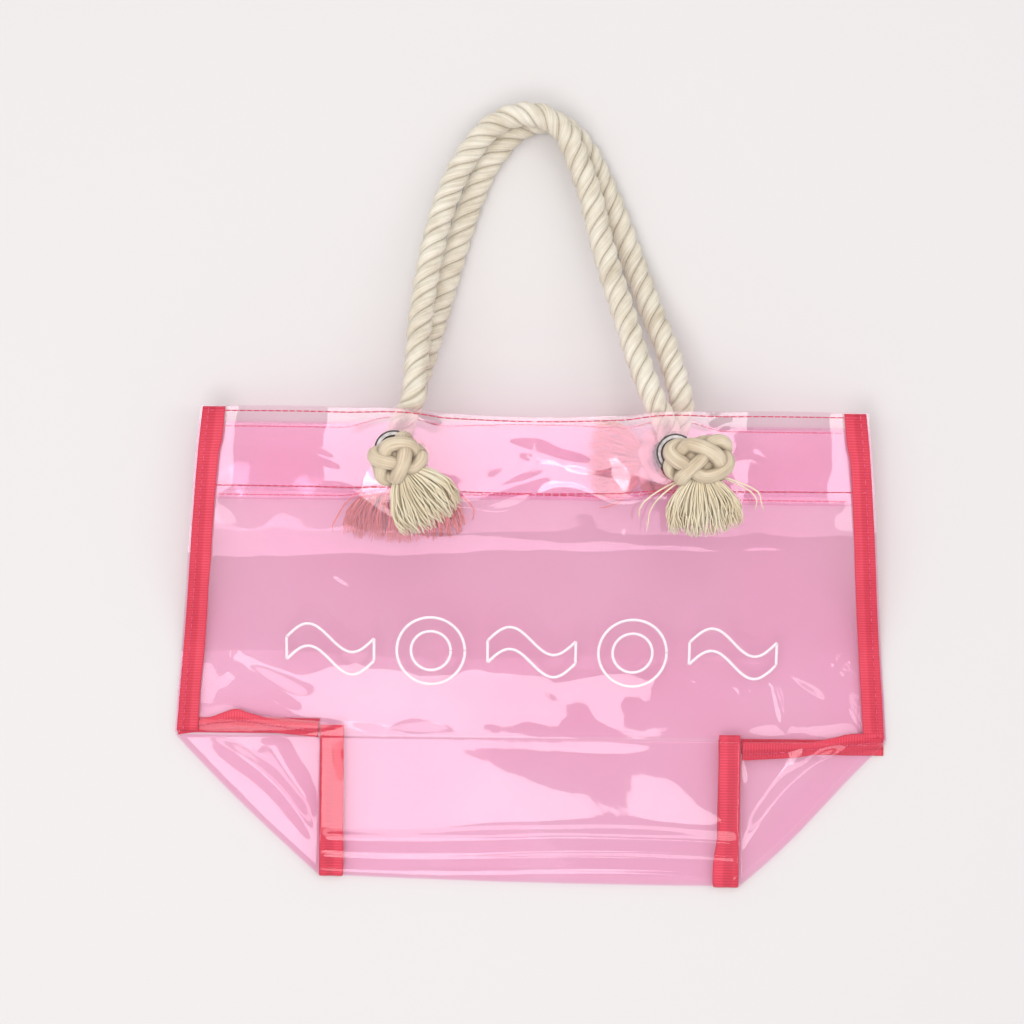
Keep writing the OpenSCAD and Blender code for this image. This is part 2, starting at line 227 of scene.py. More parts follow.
def film_material():
    """Clear tinted vinyl: what passes is tinted, and each face mirrors a little."""
    material, tree, unused_shader = new_material("clear_pink_vinyl")
    tree.nodes.remove(unused_shader)
    place = add(tree, "ShaderNodeTexCoord").outputs["Object"]
    tint = ramp(tree, spots(tree, place, 9.0, 3.0),
                (0.3, (1.0, 0.909, 0.957)), (0.7, (1.0, 0.929, 0.969)))
    # painted light: the hems are tinted a little paler, and the very edge of the front one more so, to
    # stand in for the light they reflect
    across = add(tree, "ShaderNodeSeparateXYZ", Vector=place)
    hem = step_up(tree, across.outputs["Y"], HEM_FOOT_Y - 1 * MM, HEM_FOOT_Y + 1 * MM, 0.0, 0.35)
    lip_painted_light = step_up(tree, across.outputs["Y"], MOUTH_Y - 13 * MM, MOUTH_Y - 9 * MM, 0.0, 0.65)
    tint = blended(tree, maths(tree, "ADD", hem, lip_painted_light), tint, (1.0, 0.972, 0.986, 1))
    bump = add(tree, "ShaderNodeBump", Strength=0.12, Distance=0.6 * MM,
               Height=spots(tree, place, 60.0, 2.0)).outputs[0]
    through = add(tree, "ShaderNodeBsdfTransparent", Color=tint).outputs[0]
    milk = add(tree, "ShaderNodeBsdfTranslucent", Color=(1.0, 0.45, 0.58, 1)).outputs[0]
    body = mixed(tree, 0.018, through, milk)
    gloss = add(tree, "ShaderNodeBsdfGlossy", Color=(1, 1, 1, 1), Roughness=0.035,
                Normal=bump).outputs[0]
    facing = add(tree, "ShaderNodeLayerWeight", Blend=0.5, Normal=bump).outputs["Facing"]
    mirror = weighed(tree, maths(tree, "POWER", facing, 5.0), 0.9, 0.027)
    # film that clings to what it lies on mirrors less
    free = step_up(tree, across.outputs["Z"], 1.2 * MM, 6 * MM, 0.25, 1.0)
    fill(tree, tree.nodes["Material Output"],
         Surface=mixed(tree, maths(tree, "MULTIPLY", mirror, free), body, gloss))
    return material


def tape_material():
    """Grosgrain: fine ribs across the tape, and bands of painted shade and light along it, darker where
    more film lies over it.
    """
    material, tree, bsdf = new_material("red_grosgrain")
    uv = add(tree, "ShaderNodeTexCoord").outputs["UV"]
    ribs = add(tree, "ShaderNodeTexWave", Vector=uv, Scale=160.0, Distortion=0.5, Detail=1.0)
    weave = spots(tree, uv, 900.0, 2.0)
    patch = spots(tree, uv, 28.0, 3.0)
    across = add(tree, "ShaderNodeSeparateXYZ", Vector=uv).outputs["Y"]
    place = maths(tree, "DIVIDE", across, 15 * MM)
    # painted shade and light: bands along the tape, darker where more layers of film lie over it
    greys = ((0.0, 0.42), (0.24, 0.5), (0.30, 0.32), (0.55, 0.36), (0.66, 0.72), (1.0, 0.62))
    band_shade = ramp(tree, place, *((at, (grey, grey, grey)) for at, grey in greys))
    shade = weighed(tree, patch, 0.45, weighed(tree, ribs.outputs[1], 0.22))
    shade = weighed(tree, band_shade, 0.5, shade)
    colour = ramp(tree, shade, (0.3, (0.50, 0.013, 0.040)), (0.58, (0.67, 0.034, 0.073)),
                  (0.85, (0.84, 0.075, 0.125)))
    height = weighed(tree, weave, 0.35, ribs.outputs[1])
    bump = add(tree, "ShaderNodeBump", Strength=0.6, Distance=0.2 * MM, Height=height)
    fill(tree, bsdf, Base_Color=colour, Normal=bump.outputs[0], Roughness=0.62,
         Sheen_Weight=0.25)
    return material


def cotton_material(name, across, along, dark, mid, light, gap_shade=1.3):
    """Twisted cotton: fibres run along the strand, which UV's first axis follows in metres.

    gap_shade is how strongly shade is painted into the gaps between strands; across and along are the
    fibres' scales.
    """
    material, tree, bsdf = new_material(name)
    uv = add(tree, "ShaderNodeTexCoord").outputs["UV"]
    stretch = add(tree, "ShaderNodeMapping", Vector=uv, Scale=(along, across, 1)).outputs[0]
    fibre = add(tree, "ShaderNodeTexNoise", Vector=stretch, Scale=1.0, Detail=4.0,
                Roughness=0.6).outputs[0]
    place = add(tree, "ShaderNodeTexCoord").outputs["Object"]
    shade = weighed(tree, spots(tree, place, 55.0, 2.0), 0.4, weighed(tree, fibre, 0.6))
    colour = ramp(tree, shade, (0.28, dark), (0.5, mid), (0.72, light))
    bump = add(tree, "ShaderNodeBump", Strength=0.75, Distance=0.5 * MM, Height=fibre)
    # painted shade: where ambient occlusion finds the gaps between strands, the colour darkens towards a
    # deeper copy of dark
    gap = add(tree, "ShaderNodeAmbientOcclusion", Distance=4.5 * MM)
    gap.samples = 8
    unshaded = maths(tree, "POWER", gap.outputs["AO"], gap_shade)
    colour = blended(tree, unshaded, (*(0.55 * c for c in dark), 1), colour)
    fill(tree, bsdf, Base_Color=colour, Normal=bump.outputs[0], Roughness=0.85,
         Sheen_Weight=0.3)
    return material


def grained_material(name, scale, detail, low, high, roughness, wear=0.0, **inputs):
    """Fine grain between two (place, colour) stops; wear is what it adds to the roughness."""
    material, tree, bsdf = new_material(name)
    place = add(tree, "ShaderNodeTexCoord").outputs["Object"]
    grain = spots(tree, place, scale, detail)
    if wear:
        roughness = weighed(tree, grain, wear, roughness)
    fill(tree, bsdf, Base_Color=ramp(tree, grain, low, high), Roughness=roughness, **inputs)
    return material


def floor_material():
    material, tree, bsdf = new_material("pale_floor")
    fill(tree, bsdf, Base_Color=(0.755, 0.742, 0.732, 1), Roughness=0.9,
         Specular_IOR_Level=0.1)
    return material


FILM = film_material()
TAPE = tape_material()
ROPE = cotton_material("cotton_rope", 420.0, 40.0, (0.52, 0.44, 0.31), (0.80, 0.74, 0.60),
                       (0.95, 0.92, 0.83))
# painted shade: the knots' cotton is a darker copy of the rope's, with deeper shade painted in its gaps
KNOT_SHADED = cotton_material("cotton_knot_painted_shade", 420.0, 40.0, (0.40, 0.30, 0.19), (0.67, 0.56, 0.40),
                          (0.86, 0.77, 0.60), 1.9)
# painted light: the back tassels' yarn is coloured coral for the pink light that reaches it through the
# film
YARN_UNDER_FILM_LIGHT = cotton_material("cotton_yarn_film_tinted_light", 900.0, 90.0, (0.72, 0.34, 0.20),
                        (0.97, 0.50, 0.29), (1.0, 0.64, 0.42), 0.6)
YARN = cotton_material("cotton_yarn", 900.0, 90.0, (0.80, 0.62, 0.38), (1.0, 0.89, 0.64),
                       (1.0, 0.98, 0.84), 0.2)
THREAD = grained_material("pink_thread", 700.0, 1.0, (0.35, (0.62, 0.045, 0.11)),
                          (0.65, (0.82, 0.11, 0.20)), 0.5)
# painted reflection: the nickel's base colour is darkened to stand in for the dark surroundings the rings
# mirror
METAL = grained_material("nickel_painted_dark_reflection", 350.0, 3.0, (0.35, (0.15, 0.14, 0.135)),
                         (0.65, (0.24, 0.225, 0.215)), 0.06, wear=0.15, Metallic=1.0)
INK = grained_material("white_ink", 800.0, 2.0, (0.3, (0.93, 0.78, 0.84)),
                       (0.6, (1.0, 0.90, 0.94)), 0.45)


# ---- mesh helpers ----

def smooth(t):
    t = np.clip(t, 0, 1)
    return t * t * (3 - 2 * t)


def hill(x, width):
    return np.exp(-(x / width) ** 2)


def between(t, start, end):
    """Rises from 0 over the first part of 0 to 1 and falls to 0 over the last part."""
    return smooth(t / start) * smooth((1 - t) / end)


def mesh_object(name, points, faces, material, uvs=None, normals=None):
    mesh = bpy.data.meshes.new(name)
    mesh.from_pydata([tuple(p) for p in points], [], faces)
    mesh.materials.append(material)
    mesh.polygons.foreach_set("use_smooth", [True] * len(mesh.polygons))
    if uvs is not None:
        layer = mesh.uv_layers.new(name="UVMap")
        loops = np.zeros(len(mesh.loops), np.int32)
        mesh.loops.foreach_get("vertex_index", loops)
        layer.data.foreach_set("uv", np.asarray(uvs, np.float32)[loops].ravel())
    mesh.update()
    if normals is not None:
        mesh.normals_split_custom_set_from_vertices([tuple(n) for n in normals])
    piece = bpy.data.objects.new(name, mesh)
    scene.collection.objects.link(piece)
    return piece


def unit(v):
    return v / np.maximum(np.linalg.norm(v, axis=-1, keepdims=True), 1e-12)


def grid_normals(grid):
    along = np.gradient(grid, axis=0)
    across = np.gradient(grid, axis=1)
    return unit(np.cross(across, along))


def shell_parts(grid, thickness, normals, keep=None):
    """Points, faces and normals of a closed shell about a grid of mid-surface points."""
    rows, cols = grid.shape[:2]
    top = (grid + normals * thickness / 2).reshape(-1, 3)
    low = (grid - normals * thickness / 2).reshape(-1, 3)
    under = rows * cols
    faces, edges = [], {}
    for r in range(rows - 1):
        for c in range(cols - 1):
            if keep is not None and not keep[r, c]:
                continue
            a = r * cols + c
            quad = (a, a + 1, a + cols + 1, a + cols)
            faces.append(quad)
            faces.append(tuple(under + i for i in reversed(quad)))
            for i in range(4):
                edge = (quad[i], quad[(i + 1) % 4])
                if edge[::-1] in edges:
                    del edges[edge[::-1]]
                else:
                    edges[edge] = True
    for a, b in edges:
        faces.append((b, a, under + a, under + b))
    flat = normals.reshape(-1, 3)
    used = sorted({i for f in faces for i in f})
    order = {old: new for new, old in enumerate(used)}
    faces = [tuple(order[i] for i in f) for f in faces]
    return np.concatenate([top, low])[used], faces, np.concatenate([flat, -flat])[used]


def film_shell(name, grid, normals, keep=None, shade=False):
    """A piece of film; shade keeps the given normals."""
    points, faces, custom = shell_parts(grid, FILM_T, normals, keep)
    return mesh_object(name, points, faces, FILM, normals=custom if shade else None)


def run_along(path):
    """How far each point of a path is from its first, along it."""
    return np.concatenate([[0], np.cumsum(np.linalg.norm(np.diff(path, axis=0), axis=1))])


def turns_of(sides):
    return np.arange(sides) * 2 * math.pi / sides


def skin(rings, sides):
    """Faces between rings of points, closed at both ends."""
    faces = []
    for i in range(rings - 1):
        for k in range(sides):
            a, b = i * sides + k, i * sides + (k + 1) % sides
            faces.append((a, b, b + sides, a + sides))
    last = (rings - 1) * sides
    faces.append(tuple(range(sides))[::-1])
    faces.append(tuple(last + k for k in range(sides)))
    return faces


def catmull(points, step):
    """Points about a step apart on a smooth curve through the given ones."""
    p = np.array(points, float)
    p = np.vstack([2 * p[0] - p[1], p, 2 * p[-1] - p[-2]])
    out = []
    for i in range(1, len(p) - 2):
        a, b, c, d = p[i - 1], p[i], p[i + 1], p[i + 2]
        count = max(1, int(round(np.linalg.norm(c - b) / step)))
        t = (np.arange(count) / count)[:, None]
        out.append(0.5 * (2 * b + (c - a) * t + (2 * a - 5 * b + 4 * c - d) * t ** 2
                          + (3 * b - a - 3 * c + d) * t ** 3))
    out.append(p[-2][None])
    return np.vstack(out)


def carried_frames(path):
    """Tangents and two normals that turn as little as they can along a path."""
    tangents = unit(np.gradient(path, axis=0))
    start = np.cross(tangents[0], (0.3, 0.2, 0.9))
    first = [start / np.linalg.norm(start)]
    for t in tangents[1:]:
        n = first[-1] - t * np.dot(first[-1], t)
        first.append(n / np.linalg.norm(n))
    first = np.array(first)
    return tangents, first, np.cross(tangents, first)


UV_ROUND = 50 * MM           # what a tube's UVs count as once round it


def tube_parts(path, radius, sides, u0=0.0):
    """Points, faces and UVs of a tube with closed ends; radius may vary along it."""
    path = np.asarray(path, float)
    _, first, second = carried_frames(path)
    radius = np.broadcast_to(radius, len(path))
    turn = turns_of(sides)
    ring = (first[:, None] * np.cos(turn)[None, :, None]
            + second[:, None] * np.sin(turn)[None, :, None])
    points = (path[:, None] + ring * radius[:, None, None]).reshape(-1, 3)
    uvs = np.stack([np.repeat(u0 + run_along(path), sides),
                    np.tile(np.arange(sides) / sides * UV_ROUND, len(path))], axis=1)
    return points, skin(len(path), sides), uvs


def joined(name, parts, material):
    """One object from many (points, faces, uvs)."""
    points, faces, uvs, base = [], [], [], 0
    for p, f, u in parts:
        points.append(p)
        uvs.append(u)
        faces += [tuple(base + i for i in face) for face in f]
        base += len(p)
    return mesh_object(name, np.vstack(points), faces, material, np.vstack(uvs))


# ---- ropes: the cords come first ----

# Points of each free loop [x, y above the mouth, z] and of each end [x, y above the eyelet, z]
FRONT_LOOP = [
    (-83, 20, 58.5), (-82, 36, 54), (-79.5, 70, 45), (-74, 106, 36.5), (-66, 140, 30),
    (-55, 168, 27.8), (-44, 186, 27.4), (-32, 199, 27.4), (-15, 207, 27.4), (4, 206, 27.4),
    (19, 195, 27.4), (28, 176, 28), (37, 152, 29), (44, 124, 31.5), (52, 96, 37),
    (60.5, 70, 44), (69, 42, 51.5), (77, 20, 57.5)]
BACK_LOOP = [
    (-82, 20, 37.5), (-77, 36, 31), (-68.5, 70, 18.5), (-59, 106, 10.5), (-49, 140, 9.1),
    (-38, 168, 9), (-28, 184, 9), (-14, 199, 9), (5, 205, 9), (22, 198, 9), (34, 184, 9),
    (44, 166, 9), (56.5, 138, 9.1), (69, 105, 11), (82, 70, 20), (93, 42, 31), (100, 18, 38.5)]
FRONT_ENDS = [
    [(-97, 0, 80), (-97, 0, 76), (-97, 0, 69.8), (-96.6, 2.2, 65.8), (-95.4, 7, 62.6),
     (-92.6, 15, 61.6), (-88.8, 25, 61.6), (-84, 35, 61.5)],
    [(83, 35, 61.5), (88.2, 25, 61.6), (92.4, 15, 61.6), (95.4, 7, 62.6), (96.6, 2.2, 65.8),
     (97, 0, 69.8), (97, 0, 76), (97, 0, 80)]]
BACK_ENDS = [
    [(-97, 0, 25), (-97, 0, 29), (-97, 0, 35.4), (-96.7, 2.2, 39.4), (-95.6, 7, 42.4),
     (-93, 15, 43.2), (-89.6, 25, 43.2), (-86, 35, 43)],
    [(103, 35, 43), (101.2, 25, 43.2), (99.4, 15, 43.2), (97.8, 7, 42.4), (97.2, 2.2, 39.4),
     (97, 0, 35.4), (97, 0, 29), (97, 0, 25)]]
STRANDS = 3
LAY = 37 * MM                # the length in which a strand goes once round the rope
STRAND_HIGH = 4.3 * MM
STRAND_WIDE = 4.75 * MM
STRAND_OUT = 4.6 * MM        # a strand's middle from the rope's


def route(loop, ends):
    low = [(x, y * MM + EYELET_Y, z) for x, y, z in ends[0]]
    mid = [(x, y * MM + MOUTH_Y, z) for x, y, z in loop]
    high = [(x, y * MM + EYELET_Y, z) for x, y, z in ends[1]]
    return [(x * MM, y, z * MM) for x, y, z in low + mid + high]


def strand_parts(path, out, high, wide, sides, u0):
    """A strand with an oval section: high away from the rope's middle, wide across that."""
    points, faces, uvs = tube_parts(path, 1.0, sides, u0=u0)
    over = unit(np.cross(unit(np.gradient(path, axis=0)), out))
    turn = turns_of(sides)
    ring = (out[:, None] * (high * np.cos(turn))[None, :, None]
            + over[:, None] * (wide * np.sin(turn))[None, :, None])
    if np.dot(np.cross(ring[1, 0], ring[1, 1]), path[2] - path[1]) < 0:
        ring = ring[:, ::-1]
    return (path[:, None] + ring).reshape(-1, 3), faces, uvs


def make_rope(name, points, nodes, phase):
    path = catmull(points, 2.0 * MM)
    _, first, second = carried_frames(path)
    run = run_along(path)
    parts = []
    for k in range(STRANDS):
        turn = 2 * math.pi * (run / LAY + k / STRANDS) + phase
        out = first * np.cos(turn)[:, None] + second * np.sin(turn)[:, None]
        parts.append(strand_parts(path + STRAND_OUT * out, out, STRAND_HIGH, STRAND_WIDE, 18,
                                  k * 0.37))
    rope = joined(name, parts, ROPE)
    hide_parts(*nodes)
    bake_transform(rope)


make_rope("front_rope", route(FRONT_LOOP, FRONT_ENDS),
          ["front_handle_rope", "front_left_rope_end", "front_right_rope_end"], 0.4)
make_rope("back_rope", route(BACK_LOOP, BACK_ENDS),
          ["back_handle_rope", "back_left_rope_end", "back_right_rope_end"], 1.9)


# ---- the walls' shape ----

def half_w(y):
    """Half the width of a wall; the side seams are not quite straight."""
    y = np.asarray(y, float)
    plain = FOOT_HALF + (MOUTH_HALF - FOOT_HALF) * np.clip(y, 0, None) / MOUTH_Y
    return plain + 0.5 * MM * np.sin(y * 38) * smooth(y / 0.03) * smooth((MOUTH_Y - y) / 0.03)


def back_z(y):
    return FILM_T / 2 + KNOT_ROOM * smooth((np.asarray(y) - FLAT_TO) / (RAMP_TO - FLAT_TO))


def belly(x, y):
    return 1 - smooth((np.abs(x) - BELLY_X) / (half_w(y) - BELLY_X))


RISE_Y = np.linspace(0, 260, 521) * MM
RISE_SLOPE = (0.12 + 0.88 * smooth((RISE_Y - 30 * MM) / (45 * MM)))
RISE_SLOPE = RISE_SLOPE * (1 - smooth((RISE_Y - 165 * MM) / (7 * MM)))
RISE = np.cumsum(RISE_SLOPE) / RISE_SLOPE.sum()


def front_level(x, y):
    """The front wall's middle: nearly level, then steep, then level again in the hem."""
    waver = 9 * MM * np.sin(np.asarray(x) * 31 + 0.6) + 5 * MM * np.sin(np.asarray(x) * 83)
    at = y - waver * smooth((y - 90 * MM) / (60 * MM))
    return CREASE_Z + (FRONT_TOP - FILM_T / 2 - CREASE_Z) * np.interp(at, RISE_Y, RISE)


def front_z(x, y):
    apart = smooth((half_w(y) - np.abs(x)) / (24 * MM))
    low = back_z(y) + EDGE_GAP + (SEAM_GAP - EDGE_GAP) * apart
    return low + belly(x, y) * (front_level(x, y) - low)


def noise2(x, y, scale_x, scale_y, seed):
    spots = np.stack([x * scale_x, y * scale_y, np.full_like(x, seed)], axis=-1).reshape(-1, 3)
    return np.array([noise.noise(Vector(s)) for s in spots]).reshape(x.shape)


def crease(x, y, start, end, height, width):
    """A soft ridge along a line, fading at both ends."""
    a, b = np.array(start) * MM, np.array(end) * MM
    d = b - a
    t = ((x - a[0]) * d[0] + (y - a[1]) * d[1]) / (d @ d)
    off = ((x - a[0]) * d[1] - (y - a[1]) * d[0]) / math.sqrt(d @ d)
    return height * MM * between(t, 0.35, 0.35) * hill(off, width * MM)


def from_eyelet(x, y):
    return np.hypot(np.abs(x) - EYELET_X, y - EYELET_Y)


def away_from_eyelets(x, y):
    return smooth((from_eyelet(x, y) - 16 * MM) / (30 * MM))


# (start, end, height, width) of the creases in the front wall, in millimetres
FRONT_CREASES = [
    ((62, 152), (84, 118), 1.8, 2.4), ((70, 150), (78, 112), -1.5, 2.4), ((84, 140), (96, 112), 1.4, 2),
    ((54, 160), (66, 138), 1.4, 1.7), ((68, 160), (60, 138), 1.4, 1.7), ((30, 150), (52, 132), 1.0, 2),
    ((40, 160), (62, 120), 1.0, 4), ((200, 96), (232, 52), 1.8, 3.5), ((236, 84), (206, 40), 1.2, 2),
    ((212, 40), (240, 84), -1.3, 3), ((160, 60), (215, 22), 1.0, 3), ((135, 62), (160, 20), 1.0, 5),
    ((226, 34), (246, 4), 1.4, 2), ((232, 50), (238, 10), -1.2, 3), ((186, 126), (236, 92), 1.6, 9),
    ((74, 134), (86, 100), 1.6, 2), ((200, 76), (242, 30), 1.8, 2.2), ((164, 68), (174, 34), 1.3, 2.4),
    ((171, 46), (181, 6), 1.3, 2.4), ((225, 30), (243, -4), 1.4, 2),
    ((-225, 60), (-150, 18), 1.6, 6), ((-205, 95), (-222, 30), 1.4, 5), ((-60, 170), (-20, 120), 1.0, 6),
    ((-150, 118), (-110, 92), 1.0, 3), ((20, 195), (-40, 172), 0.8, 5), ((110, 165), (150, 120), 1.2, 6),
    ((-215, 222), (-120, 188), 0.8, 3), ((128, 236), (116, 210), 1.2, 4), ((140, 226), (112, 218), -1.0, 4),
    ((150, 206), (190, 186), 0.9, 4), ((-30, 215), (60, 190), 0.6, 5), ((-100, 78), (20, 100), 0.8, 7)]


def front_ripple(x, y):
    """How far the front wall stands off its plain shape."""
    edge = smooth((half_w(y) - np.abs(x)) / (30 * MM)) * smooth(y / (14 * MM))
    wave = 1.8 * MM * noise2(x, y, 6, 10, 3.1) + 1.2 * MM * noise2(x, y, 17, 22, 8.4)
    wave += 0.45 * MM * noise2(x, y, 45, 55, 1.7)
    for ridge in FRONT_CREASES:
        wave = wave + crease(x, y, *ridge)
    sag = -5 * MM * hill(x, 52 * MM) * smooth((y - 100 * MM) / (80 * MM))
    return (wave + sag - 0.8 * MM) * edge * away_from_eyelets(x, y)


def slipped(x, y, outer, inner, spread):
    """How far a wall is pulled down, most at its mouth and not at its seams or eyelets."""
    at_seam = smooth((half_w(y) - np.abs(x)) / (16 * MM))
    pull = outer + (inner - outer) * hill(x, spread)
    return pull * at_seam * np.clip(y / MOUTH_Y, 0, 1) ** 2 * away_from_eyelets(x, y)


def front_point(x, y):
    """Where a point of the front wall's film lies; its mouth sags between the handles."""
    x, y = np.asarray(x, float), np.asarray(y, float)
    down = slipped(x, y, 0, 6.5 * MM, 110 * MM)
    return np.stack([x, y - down, front_z(x, y) + front_ripple(x, y)], axis=-1)


def back_ripple(x, y):
    edge = smooth((half_w(y) - np.abs(x)) / (40 * MM)) * smooth((y - FLAT_TO) / (30 * MM))
    wave = 1.5 * MM * noise2(x, y, 9, 8, 5.5) + 0.6 * MM * noise2(x, y, 28, 24, 2.2)
    return (wave - 0.8 * MM) * edge * away_from_eyelets(x, y)


def back_point(x, y):
    """Where a point of the back wall's film lies; its mouth is lower than the front's."""
    x, y = np.asarray(x, float), np.asarray(y, float)
    down = slipped(x, y, 11 * MM, 7.5 * MM, 70 * MM)
    return np.stack([x, y - down, back_z(y) + back_ripple(x, y)], axis=-1)


HEM_FOLD_R = 0.5 * MM
HOLE_R = 10.8 * MM           # of the holes in the film, hidden by the eyelets


def hemmed_grid(point, side, columns, rows):
    """A wall's film with its hem turned inwards at the mouth; side is +1 if inwards is down."""
    def spread(heights):
        u, y = np.meshgrid(np.linspace(-1, 1, columns), heights)
        return opened_holes(u * half_w(y), y)

    x, y = spread(np.linspace(0.4 * MM, MOUTH_Y, rows))
    hem_x, hem_y = spread(np.linspace(MOUTH_Y, HEM_FOOT_Y, 30))
    wall = point(x, y)
    fold = []
    for a in np.radians((50, 0, -50)):
        lift = (math.sin(a) - 1) * HEM_FOLD_R
        fold.append(wall[-1] + np.array([0, math.cos(a) * HEM_FOLD_R, side * lift]))
    hem = point(hem_x, hem_y) - UP * side * 2 * HEM_FOLD_R
    grid = np.concatenate([wall, np.array(fold), hem])
    all_x = np.concatenate([x, np.repeat(x[-1:], 3, axis=0), hem_x])
    all_y = np.concatenate([y, np.repeat(y[-1:], 3, axis=0), hem_y])
    inside = from_eyelet(all_x, all_y) <= HOLE_R * 1.001
    keep = ~(inside[:-1, :-1] & inside[1:, :-1] & inside[:-1, 1:] & inside[1:, 1:])
    return grid, keep


def opened_holes(x, y):
    """Points inside an eyelet's hole move out to its edge."""
    cx = np.sign(x) * EYELET_X
    dx, dy = x - cx, y - EYELET_Y
    gap = np.hypot(dx, dy)
    grow = np.where(gap < HOLE_R, HOLE_R / np.maximum(gap, 1e-6), 1.0)
    moves = gap > 1.5 * MM
    return np.where(moves, cx + dx * grow, x), np.where(moves, EYELET_Y + dy * grow, y)


def blend_side(piece):
    """A piece of the front wall, left or right of the middle, gets its place baked into its points."""
    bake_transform(piece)


def make_front_film():
    columns, rows = 241, 112
    grid, keep = hemmed_grid(front_point, 1, columns, rows)
    normals = grid_normals(grid)
    middle = columns // 2
    for (side, word), span in zip(SIDES, (slice(0, middle + 1), slice(middle, columns))):
        faces = slice(span.start, span.stop - 1)
        film = film_shell(f"front_film_{word}", grid[:, span], normals[:, span],
                          keep[:, faces], True)
        if side < 0:
            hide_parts("front_panel", "front_hem")
        blend_side(film)


def make_back_film():
    grid, keep = hemmed_grid(back_point, -1, 121, 72)
    film = film_shell("back_film", grid, -grid_normals(grid), keep)
    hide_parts("back_panel", "back_hem")
    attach(film, "back_wall")


# ---- the base and its gussets ----

FOLD_R = 4.0 * MM


def skewed(x, y):
    """The base's fold lies askew: its left end is nearer to the mouth than its right end."""
    return y - 2.5 * MM * (x / BASE_HALF) * np.clip(-y / -FOLD_Y, 0, 1)


def base_profile():
    """(y, z) of the base's film from the rear crease round its fold to the front crease."""
    back = [(y * MM, FILM_T / 2) for y in np.linspace(0, -92, 24)]
    centre_y = FOLD_Y + FOLD_R + FILM_T / 2
    centre_z = FOLD_R + FILM_T / 2
    fold = [(centre_y + FOLD_R * math.cos(a), centre_z + FOLD_R * math.sin(a))
            for a in np.radians(np.linspace(262, 98, 13))]
    t = np.linspace(0.03, 1, 64)
    y0, z0 = fold[-1]
    front = [(y0 + (0 - y0) * s, z0 + (CREASE_Z - z0) * (1 - (1 - s) ** 2.2)) for s in t]
    return np.array(back + fold + front)


# (height, how far over the fold, width) of the soft ridges across the base, in millimetres
BASE_RIDGES = [(2.3, 31, 6.5), (1.3, 17, 2.8), (-0.8, 9, 2.4)]


def base_ripple(x, y, top):
    edge = smooth((BASE_HALF - np.abs(x)) / (25 * MM)) * smooth(-y / (12 * MM))
    free = smooth((y - FOLD_Y) / (16 * MM))
    wave = 1.9 * MM * noise2(x, y, 5, 17, 6.6) + 0.8 * MM * noise2(x + y, y, 14, 26, 4.2)
    over = y - FOLD_Y - 3 * MM * np.sin(x * 17 + 0.5)
    ridges = sum(high * MM * hill(over - at * MM, wide * MM) for high, at, wide in BASE_RIDGES)
    to_seam = smooth((BASE_HALF - np.abs(x)) / (4 * MM))
    return np.where(top, wave * free * edge + ridges * to_seam * smooth(free * 3), 0)


def make_base_film():
    profile = base_profile()
    x, y = np.meshgrid(np.linspace(-BASE_HALF, BASE_HALF, 131), profile[:, 0])
    z = np.repeat(profile[:, 1:], 131, axis=1)
    drawn_in = 1.6 * MM * smooth((-y - 60 * MM) / (40 * MM))
    bow = drawn_in * (1 - (x / BASE_HALF) ** 2)
    on_top = z > 1.6 * FOLD_R
    grid = np.stack([x, skewed(x, y) - bow + drawn_in, z + base_ripple(x, y, on_top)], axis=-1)
    film = film_shell("base_film", grid, -grid_normals(grid))
    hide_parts("base_panel")
    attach(film, "back_wall")


GUSSET_FOLD_R = 4.4 * MM
GUSSET_FOLD_Z = 4.8 * MM


def gusset_point(side, along, depth, seed):
    """along runs from the foot of the side seam to the bottom corner, depth from -1 at the
    back corner over 0 at the fold to 1 at the front corner."""
    corner = np.array([BASE_HALF + 0.05 * MM, -0.4 * MM])
    foot = np.array([FOOT_HALF - 0.8 * MM, -0.6 * MM])
    tip = np.array([BASE_HALF + 0.05 * MM, FOLD_Y + (1 - 2.5 * side) * MM])
    fold = foot + (tip - foot) * along[..., None]
    flat = fold + (corner - fold) * np.abs(depth)[..., None]
    reach = np.linalg.norm((foot + tip) / 2 - corner)
    inward = np.abs(depth) * reach
    cap = np.sqrt(1 - (1 - np.clip(inward / GUSSET_FOLD_R, 0, 1)) ** 2) * GUSSET_FOLD_R
    front = GUSSET_FOLD_Z + cap + (CREASE_Z - GUSSET_FOLD_Z - GUSSET_FOLD_R) * np.abs(depth)
    back = GUSSET_FOLD_Z - cap - (GUSSET_FOLD_Z - GUSSET_FOLD_R - FILM_T / 2) * np.abs(depth)
    z = np.where(depth >= 0, front, back)
    x, y = flat[..., 0], flat[..., 1]
    free = between(np.abs(depth), 0.25, 0.3) * between(along, 0.2, 0.2)
    wave = 1.5 * MM * noise2(x * side, y, 16, 16, seed) + 0.6 * MM * noise2(x, y, 42, 42, seed)
    ridge = hill(depth - 0.26 - 0.10 * np.sin(along * math.pi), 0.07)
    hollow = hill(depth - 0.66 + 0.22 * along, 0.10)
    wave = wave + MM * (2.6 * ridge - 2.4 * hollow)
    z = z + np.where(depth > 0, wave * free, 0)
    swell = 1.8 * np.sin(along * math.pi) + np.cos(seed) * np.sin(along * math.pi * 2.0)
    swell = 0.7 * swell * MM * (1 - np.abs(depth)) ** 3
    return np.stack([side * (x + swell), y - swell, z], axis=-1)


